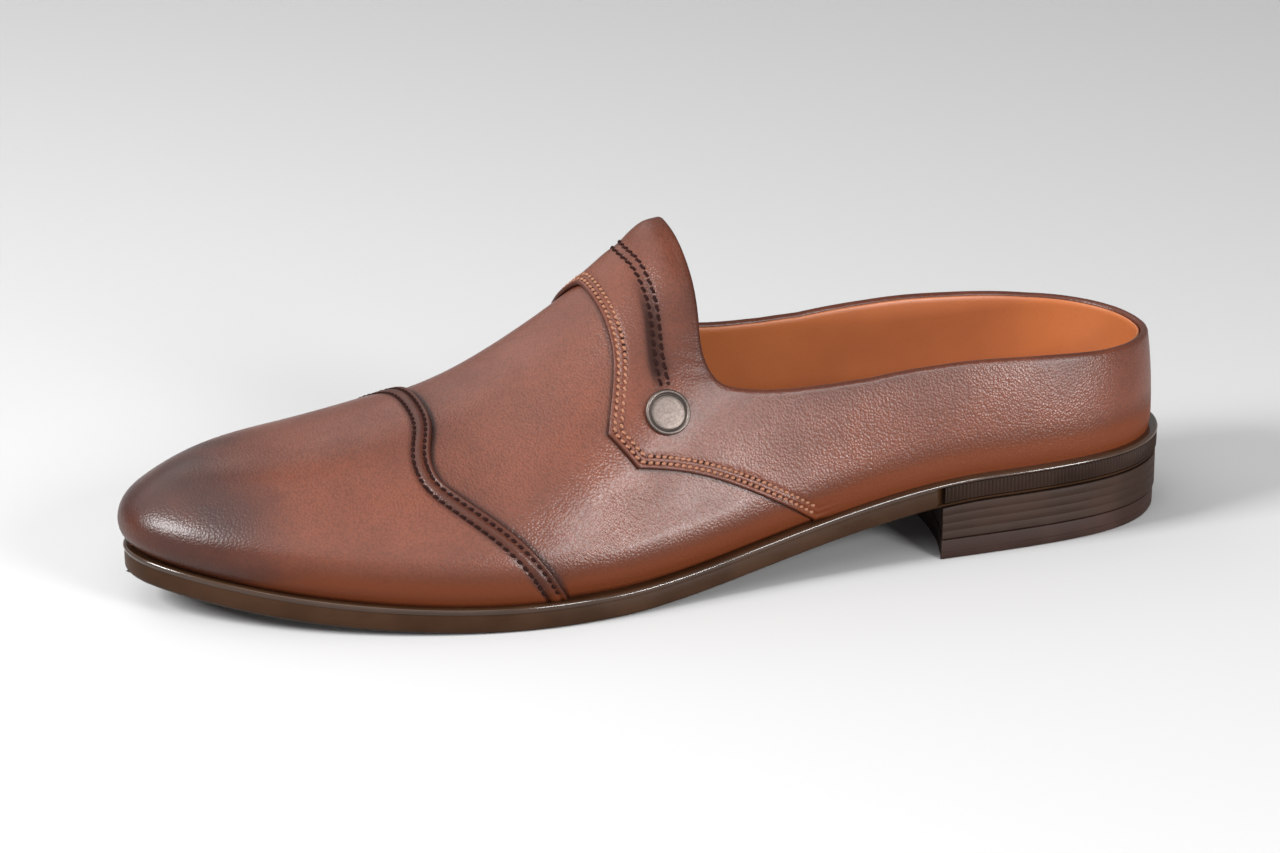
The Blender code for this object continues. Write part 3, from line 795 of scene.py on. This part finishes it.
def brown_leather(name, pebble, gloss, rows=()):
    """Waxed brown calf with its marks: burnish and painted shade, rub, painted shade above the sole, and
    needle holes painted as shade.

    The wax gives it a clear gloss, except on rubbed places and painted shade, and in the band above the
    sole."""
    look, shade, shader = new_look(name, Specular_IOR_Level=gloss, Coat_Roughness=0.20)

    def mark(attribute):
        return shade.node("Attribute", {"attribute_name": attribute}, {}, "Fac")

    where = shade.node("TexCoord", {}, {}, "Object")
    cloud = noise(shade, where, 55, 4.0).step(0.3, 0.72)
    cells = shade.node("TexVoronoi", {"feature": "SMOOTH_F1"}, {
        "Vector": where, "Scale": 1500.0, "Smoothness": 0.25})
    mottle = noise(shade, where, 480, 4.0).step(0.35, 0.65)
    fine = noise(shade, where, 2600, 3.0)
    wax = (1 - mark("glow").step(0.12, 0.5)) * 0.06
    shade.tree.links.new(wax.socket, shader.inputs["Coat Weight"])
    colour = cloud.blend(BROWN, BROWN_DEEP)
    # Painted shade: warmer and darker in the band just above the sole.
    colour = (mark("glow") * 0.9).blend(colour, LOW_SHADE_AMBER)
    # Burnish darkens the colour, and so does painted shade at lapped edges, folds and the collar.
    colour = (mark("burnish") * (cloud * 0.3 + 0.75)).blend(colour, BURNISH_AND_SHADE)
    colour = (cells.step(0.3, 0.8) * 0.25 + mottle * 0.08).blend(colour, BURNISH_AND_SHADE)
    # The painted shade band above the sole is also matte where it is not burnished.
    matte_low_shade = (mark("glow") * (1 - mark("burnish"))).step(0.08, 0.6)
    worn_and_shade = mark("rub") + matte_low_shade * 0.75
    # Painted shade at the needle holes: a dark matte spot round each hole of each stitch row.
    for attribute, distances, pitch in rows:
        along = mark(attribute + "_run") / pitch
        along = along.maths("PINGPONG", along, 0.5) * pitch
        for distance in distances:
            off = mark(attribute) - distance
            worn_and_shade = worn_and_shade + 1 - (off * off + along * along).step(HOLE_FROM, HOLE_TO)
    wire(shade, shader, colour, cloud * 0.1 + cells * 0.1 + 0.25, fine * 0.03 - cells * pebble)
    smear_and_shade = shade.node("BsdfPrincipled", {}, {
        "Base Color": matte_low_shade.blend(SMEAR_AND_SHADE, LOW_SHADE_MATTE), "Roughness": 0.6, "Specular IOR Level": 0.06})
    waxed = Shade(shade.tree, shader.outputs[0])
    mixed = shade.node("MixShader", {}, {0: worn_and_shade, 1: waxed, 2: smear_and_shade})
    shade.tree.links.new(mixed.socket, look.node_tree.nodes["Material Output"].inputs["Surface"])
    return look


def shifted(line, x_shift):
    """The same line of stations and shares, moved along the shoe."""
    return np.column_stack([station(from_heel(line[:, 0]) + x_shift), line[:, 1]])


vamp_grid = spread([shifted(quarter_line, -UNDERLAP), shifted(cap_line, UNDERLAP)], VAMP_STEPS)
vamp_points, vamp_spots = laid(vamp_grid, VAMP_LIFT)
vamp_mesh = bmesh.new()
add_sheet(vamp_mesh, vamp_points)
to_quarter = measure(vamp_spots, skin(*quarter_line.T))[0]
to_cap = measure(vamp_spots, skin(*cap_line.T))[0]
# Painted shade in thin dark lines along the lapped edges of the cap and the quarter, and a wider faint
# burnish behind the cap.
vamp_burnish = 0.8 * bell(to_cap, 0.9) + 0.25 * np.exp(-to_cap / 5) + 0.7 * bell(to_quarter, 0.5)
vamp_burnish = np.clip(vamp_burnish, 0, 1)
marked(vamp_mesh, burnish=vamp_burnish, rub=0.5 * vamp_burnish, glow=low_glow(vamp_spots))
vamp = finished("vamp", vamp_mesh, brown_leather("vamp calf", 0.120, 0.33), turn=False)
thick(vamp, VAMP_WALL)
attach(vamp, "root")
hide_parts("upper")


# Quarter: one panel from the tongue round the low back, lapped over the vamp and sewn with two tan rows.
# Its front edge is folded under, and its collar is turned over the lining in a soft roll.
OVERLAY_LIFT, OVERLAY_WALL = 0.3, 0.45
QUARTER_STEPS = 34
LAP_FADE = 0.2
PITCH, THROAT_PITCH = 1.95, 2.7
COLLAR_ROLL = [
    (1.5, -1.95), (0.75, -1.85), (0.25, -1.5), (0.02, -0.9),
    (0.12, -0.35), (0.45, 0.08), (1.0, 0.28), (1.8, 0.3),
]
QUARTER_EDGE = [
    (0.0, -0.8), (0.02, -0.35), (0.09, 0.02), (0.28, 0.28), (0.55, 0.42), (0.9, 0.40),
    (1.3, 0.22), (1.65, 0.1), (1.95, 0.16), (2.25, 0.27), (2.55, 0.31), (2.85, 0.26),
    (3.15, 0.15), (3.4, 0.1), (3.75, 0.18), (4.3, 0.28), (5.0, 0.3),
]
QUARTER_SEAMS = (1.65, 3.4)
THROAT_COLUMNS = ("x", "w")
THROAT = [
    (152.0, -0.53), (151.9, -0.46), (151.0, -0.36), (150.7, -0.27), (151.6, -0.165),
    (152.8, -0.075), (153.2, 0.0), (152.8, 0.075), (151.6, 0.165), (150.9, 0.26),
    (150.75, 0.33), (151.4, 0.40), (152.0, 0.46), (151.9, 0.51), (151.7, 0.55),
]
THROAT_STEPS = 240
THROAT_SEAMS = (1.0,)
# How far towards the toe from the throat seam the painted shade of its fold lies.
FOLD_SHADE_AHEAD = 2.0


def between_knots(table, names, count):
    """Smooth line of stations and shares through a few knots."""
    knots = np.arange(len(table))
    line = curve(knots, np.array(table, float))(np.linspace(0, knots[-1], count))
    return np.column_stack([station(line[:, names.index("x")]), line[:, names.index("w")]])


throat_line = between_knots(THROAT, THROAT_COLUMNS, THROAT_STEPS)
roll = column(COLLAR_ROLL, EDGE_COLUMNS, "distance")
edge = column(QUARTER_EDGE, EDGE_COLUMNS, "distance")
quarter_grid = spread([collar_line, lower_line], QUARTER_STEPS, near=roll, far=edge)
lift = np.concatenate([
    column(COLLAR_ROLL, EDGE_COLUMNS, "lift"),
    np.full(QUARTER_STEPS, OVERLAY_LIFT),
    column(QUARTER_EDGE, EDGE_COLUMNS, "lift")[::-1],
])
row_out = np.abs(ring_rows)[:, None]
lapped = np.clip((FRONT_ROWS + LAP_FADE - row_out) / LAP_FADE, 0, 1)
lift = np.where(np.arange(len(lift)) < len(roll), lift, OVERLAY_LIFT + (lift - OVERLAY_LIFT) * lapped)
quarter_points, quarter_spots = laid(quarter_grid, lift)
quarter_mesh = bmesh.new()
add_sheet(quarter_mesh, quarter_points)
to_edge, edge_run = measure(quarter_spots, skin(*quarter_line.T))
to_throat, throat_run = measure(quarter_spots, skin(*throat_line.T))
to_collar = measure(quarter_spots, skin(*collar_line.T))[0]
outer_way = np.abs(throat_run / throat_run.max() - 0.5) * 2
# Along the throat seam's outer part: a rubbed smear, and painted shade in the pinched fold just ahead of the
# seam.
rubbed = np.clip((outer_way - 0.15) / 0.4, 0, 1) * np.clip((1.0 - outer_way) / 0.15, 0, 1)
tongue = np.clip((7 - row_out) / 2, 0, 1) * np.clip(row_out / 2 - 0.75, 0, 1)
to_rub = measure(quarter_spots, skin(*shifted(throat_line, FOLD_SHADE_AHEAD).T))[0]
smear_and_fold_shade = 0.75 * bell(to_rub, 1.0) + 0.30 * bell(to_throat, 1.6) + 0.40 * np.exp(-to_throat / 3.5)
# Painted shadow along the collar, wider and darker on the sides of the tongue.
collar_shadow = (0.3 + 0.3 * tongue) * np.exp(-to_collar / (4 + 2 * tongue))
# Painted shade in a thin dark line along the quarter's folded front edge.
quarter_burnish = rubbed * smear_and_fold_shade + 0.1 * bell(to_throat, 1.6) + 0.55 * bell(to_edge, 0.5) + collar_shadow
quarter_burnish = np.clip(quarter_burnish, 0, 1)
marked(quarter_mesh, edge=to_edge, edge_run=edge_run, throat=to_throat, throat_run=throat_run,
       burnish=quarter_burnish, rub=0.8 * quarter_burnish, glow=low_glow(quarter_spots))
quarter_look = brown_leather("quarter calf", 0.090, 0.26, (
    ("edge", QUARTER_SEAMS, PITCH), ("throat", THROAT_SEAMS, THROAT_PITCH)))
quarter_and_tongue = finished("quarter_and_tongue", quarter_mesh, quarter_look, turn=False)
thick(quarter_and_tongue, OVERLAY_WALL)
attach(quarter_and_tongue, "root")
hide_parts("quarter")


# Toe cap: the smoothest calf, blocked over the toe, lapped over the vamp and burnished dark at its tip.
# Two dark rows sew it down, with a cord under the leather between them that lifts a rounded band.
CAP_EDGE = [
    (0.0, -0.8), (0.02, -0.3), (0.09, 0.08), (0.28, 0.34), (0.6, 0.45), (0.95, 0.38),
    (1.3, 0.2), (1.6, 0.1), (1.95, 0.22), (2.35, 0.42), (2.8, 0.53), (3.3, 0.51),
    (3.8, 0.38), (4.25, 0.19), (4.6, 0.08), (4.95, 0.17), (5.5, 0.27), (6.3, 0.3),
]
CAP_SEAMS = (1.6, 4.6)
CAP_PITCH = 2.3
CAP_STEPS = 64
TIP_FROM, TIP_RAMP = 245.0, 28.0
BAND_WIDE, BAND_FADE = 6.0, 1.4
edge = column(CAP_EDGE, EDGE_COLUMNS, "distance")
cap_grid = spread([cap_line, toe_line], CAP_STEPS, near=edge)
lift = np.concatenate([column(CAP_EDGE, EDGE_COLUMNS, "lift"), np.full(CAP_STEPS, OVERLAY_LIFT)])
cap_points, cap_spots = laid(cap_grid, lift)
cap_mesh = bmesh.new()
add_sheet(cap_mesh, cap_points)
to_edge, edge_run = measure(cap_spots, skin(*cap_line.T))
tip = np.clip((cap_spots[..., 0] - TIP_FROM) / TIP_RAMP, 0, 1)
cap_burnish = tip * tip * (3 - 2 * tip) * (1 - 0.4 * low_glow(cap_spots))
band = np.clip((BAND_WIDE - to_edge) / BAND_FADE, 0, 1)
# The band over the cord is burnished; painted shade darkens a thin line at the folded edge and the trough of
# the outer stitch row.
cap_burnish += 0.5 * band + 0.35 * bell(to_edge, 0.5) + 0.4 * bell(to_edge - 4.9, 0.8)
marked(cap_mesh, edge=to_edge, edge_run=edge_run, burnish=np.clip(cap_burnish, 0, 1), rub=0.3 * band,
       glow=low_glow(cap_spots))
cap_look = brown_leather("cap calf", 0.072, 0.30, (("edge", CAP_SEAMS, CAP_PITCH),))
blocked_toe_cap = finished("blocked_toe_cap", cap_mesh, cap_look, turn=False)
thick(blocked_toe_cap, OVERLAY_WALL)
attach(blocked_toe_cap, "root")
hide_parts("toe_cap")


# Stitching: waxed polyester thread, lockstitched in double rows, each stitch sunk at both ends.
# Tan thread holds the quarter; dark thread holds the cap and decorates the throat.
STITCH_SINK, STITCH_BLUNT, STITCH_ROUND = 0.3, 0.6, 0.42
STITCH_ENDS = (0.1, 0.9)
TAN_STITCH = {"long": 1.45, "wide": 0.85, "slant": 0.4}
CAP_STITCH = {"long": 1.8, "wide": 0.85, "slant": 0.25}
THROAT_STITCH = {"long": 1.95, "wide": 0.85, "slant": 0.3}
TAN_LIFT, CAP_LIFT, THROAT_LIFT = 0.30, 0.26, 0.42


def seam_row(line, inward, distance, lift):
    """Points and outward directions of a stitch row at a distance from a panel line, and the line's run."""
    grid = spread([line, inward], 1, near=[distance])[:, :1]
    return laid(grid, lift)[0][:, 0], outward(grid[..., 0], grid[..., 1])[:, 0], run_along(skin(*line.T))


def at_run(values, run, distance):
    """Value of a row at a distance along it."""
    return np.array([np.interp(distance, run, values[:, i]) for i in range(3)])


def sewn(mesh, points, ups, run, pitch, long, wide, slant):
    """Add one rounded stitch after another along the row, from needle hole to needle hole."""
    for k in range(int(run[-1] / pitch)):
        a, b = (at_run(points, run, (k + end) * pitch) for end in STITCH_ENDS)
        up = Vector(at_run(ups, run, (k + 0.5) * pitch)).normalized()
        way = Vector(b - a).normalized()
        across = up.cross(way).normalized()
        turn = Matrix((way, across, way.cross(across))).transposed().to_4x4()
        place = Matrix.Translation(to_metres((a + b) / 2)) @ turn @ Matrix.Rotation(slant, 4, "Z")
        made = bmesh.ops.create_uvsphere(mesh, u_segments=8, v_segments=8, radius=1)
        for vert in made["verts"]:
            z, y, x = vert.co
            x = math.copysign(abs(x) ** STITCH_BLUNT, x)
            spot = Vector((x * long / 2, y * wide / 2, z * STITCH_ROUND * wide - STITCH_SINK * x ** 4))
            vert.co = place @ (spot * MM)


def thread(name, pale, dark, gloss):
    """Twisted thread: fine pale and dark strands."""
    look, shade, shader = new_look(name, Specular_IOR_Level=gloss)
    where = shade.node("TexCoord", {}, {}, "Object")
    strands = noise(shade, where, 3000, 2.0)
    colour = strands.step(0.2, 0.6).blend(dark, pale)
    wire(shade, shader, colour, strands * 0.1 + 0.5, strands * 0.03)
    return look


tan_mesh = bmesh.new()
collar_part = collar_line[len(back_rows):-len(back_rows)]
for distance in QUARTER_SEAMS:
    sewn(tan_mesh, *seam_row(quarter_line, collar_part, distance, TAN_LIFT), PITCH, **TAN_STITCH)
tan_look = thread("tan thread", (0.225, 0.100, 0.058), (0.098, 0.037, 0.020), 0.22)
quarter_thread = finished("quarter_thread", tan_mesh, tan_look)
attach(quarter_thread, "root")

dark_mesh = bmesh.new()
for distance in CAP_SEAMS:
    sewn(dark_mesh, *seam_row(cap_line, toe_line, distance, CAP_LIFT), CAP_PITCH, **CAP_STITCH)
dark_look = thread("dark thread", (0.015, 0.0050, 0.0042), (0.006, 0.0022, 0.0020), 0.04)
cap_thread = finished("cap_thread", dark_mesh, dark_look)
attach(cap_thread, "root")

throat_mesh = bmesh.new()
throat_length = run_along(skin(*throat_line.T))
for shift in (-THROAT_SEAMS[0], THROAT_SEAMS[0]):
    grid = shifted(throat_line, shift)[:, None]
    points, ups = laid(grid, THROAT_LIFT)[0][:, 0], outward(grid[..., 0], grid[..., 1])[:, 0]
    sewn(throat_mesh, points, ups, throat_length, THROAT_PITCH, **THROAT_STITCH)
throat_thread = finished("throat_thread", throat_mesh, dark_look)
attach(throat_thread, "root")


# Stud: a small turned disc of antiqued nickel, riveted through the quarter at the end of the throat seam.
# It has a rounded rim, a dark groove inside it and a flat satin face.
STUD_X, STUD_W = 152.3, 0.593
# Columns: radius, height.
STUD_PROFILE = [
    (0.0, 0.95), (2.0, 0.93), (3.6, 0.89), (4.3, 0.86), (4.55, 0.78), (4.75, 0.6),
    (4.95, 0.64), (5.1, 1.0), (5.3, 1.24), (5.55, 1.3), (5.8, 1.22), (6.0, 1.0),
    (6.1, 0.6), (6.0, 0.1), (5.6, 0.0), (0.0, 0.0),
]
GROOVE_AT, GROOVE_HALF = 4.85, 0.18
NICKEL, NICKEL_DEEP = (0.118, 0.097, 0.087), (0.092, 0.075, 0.067)
GROOVE = (0.018, 0.013, 0.010)
stud_s = station(STUD_X)
stud_up = Vector(outward(stud_s, np.array(STUD_W)))
stud_along = Vector(skin(stud_s + 0.004, STUD_W) - skin(stud_s - 0.004, STUD_W))
stud_along = (stud_along - stud_up * stud_along.dot(stud_up)).normalized()
stud_turn = Matrix((stud_along, stud_up.cross(stud_along), stud_up)).transposed().to_4x4()
stud_seat = Vector(to_metres(skin(stud_s, STUD_W))) + stud_up * (OVERLAY_LIFT + GAP) * MM
stud_mesh = bmesh.new()
ring = [stud_mesh.verts.new((radius * MM, 0, height * MM)) for radius, height in STUD_PROFILE]
edges = [stud_mesh.edges.new(pair) for pair in zip(ring[:-1], ring[1:])]
bmesh.ops.spin(stud_mesh, geom=ring + edges, cent=(0, 0, 0), axis=(0, 0, 1), angle=2 * math.pi, steps=64,
               use_merge=True)
radii = np.array([math.hypot(vert.co.x, vert.co.y) / MM for vert in stud_mesh.verts])
marked(stud_mesh, groove=bell(radii - GROOVE_AT, GROOVE_HALF))
bmesh.ops.transform(stud_mesh, matrix=Matrix.Translation(stud_seat) @ stud_turn, verts=stud_mesh.verts)
stud_look, shade, shader = new_look("antique nickel", Metallic=1.0)
where = shade.node("TexCoord", {}, {}, "Object")
tarnish = noise(shade, where, 1500, 4.0).step(0.3, 0.7)
scratches = noise(shade, where, 2400, 2.0)
colour = tarnish.blend(NICKEL, NICKEL_DEEP)
groove = shade.node("Attribute", {"attribute_name": "groove"}, {}, "Fac")
colour = (groove * 0.65).blend(colour, GROOVE)
wire(shade, shader, colour, tarnish * 0.06 + groove * 0.2 + 0.42, scratches * 0.01)
nickel_stud = finished("nickel_stud", stud_mesh, stud_look, sharp=50)
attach(nickel_stud, "root")
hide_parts("stud")


# Studio: a plain pale floor under wide soft lights, with three small ones that draw the highlights.
# The camera stands on the outer side, a little towards the toe, and looks down on the shoe.
FLOOR_HALF, FLOOR_TONE = 4.0, (0.41, 0.41, 0.41, 1)
SURROUND = 0.36
CAMERA_STANDS = (0.422, 1.272, 0.518)
CAMERA_AIMS = (0.003, -0.003, 0.034)
CAMERA_LENS = 149.0
# Columns: name, place, wide, high, power.
LIGHTS = [
    ("low_key", (-0.82, 0.95, 0.07), 0.34, 0.12, 12.5),
    ("high_key", (-0.40, 1.12, 0.58), 0.36, 0.28, 14.0),
    ("toe_side", (0.98, 0.17, 0.70), 0.34, 0.42, 24.0),
    ("low_front", (0.50, 1.55, 0.22), 1.1, 0.40, 2.4),
    ("front", (0.40, 0.95, 1.30), 1.1, 1.1, 7.6),
    ("top", (0.50, -0.16, 1.45), 1.1, 1.1, 6.4),
    ("back", (0.50, -0.95, 0.92), 1.3, 0.7, 4.2),
]
floor_mesh = bmesh.new()
bmesh.ops.create_grid(floor_mesh, x_segments=1, y_segments=1, size=FLOOR_HALF)
floor_look = new_look("pale floor", Base_Color=FLOOR_TONE, Roughness=0.8)[0]
floor = finished("floor", floor_mesh, floor_look, turn=False)

for name, place, wide, high, power in LIGHTS:
    lamp = bpy.data.lights.new(name, "AREA")
    lamp.shape = "RECTANGLE"
    lamp.size = wide
    lamp.size_y = high
    lamp.energy = power
    light = bpy.data.objects.new(name, lamp)
    light.location = place
    light.rotation_euler = (-Vector(place)).to_track_quat("-Z", "Y").to_euler()
    bpy.context.collection.objects.link(light)

world = bpy.data.worlds.new("soft surround")
world.use_nodes = True
world.node_tree.nodes["Background"].inputs["Color"].default_value = (1.0, 1.0, 1.0, 1)
world.node_tree.nodes["Background"].inputs["Strength"].default_value = SURROUND
bpy.context.scene.world = world
bpy.context.scene.view_settings.view_transform = "Standard"

camera = bpy.data.objects.new("camera", bpy.data.cameras.new("camera"))
camera.data.lens = CAMERA_LENS
camera.location = CAMERA_STANDS
camera.rotation_euler = (Vector(CAMERA_AIMS) - Vector(CAMERA_STANDS)).to_track_quat("-Z", "Y").to_euler()
bpy.context.collection.objects.link(camera)
bpy.context.scene.camera = camera
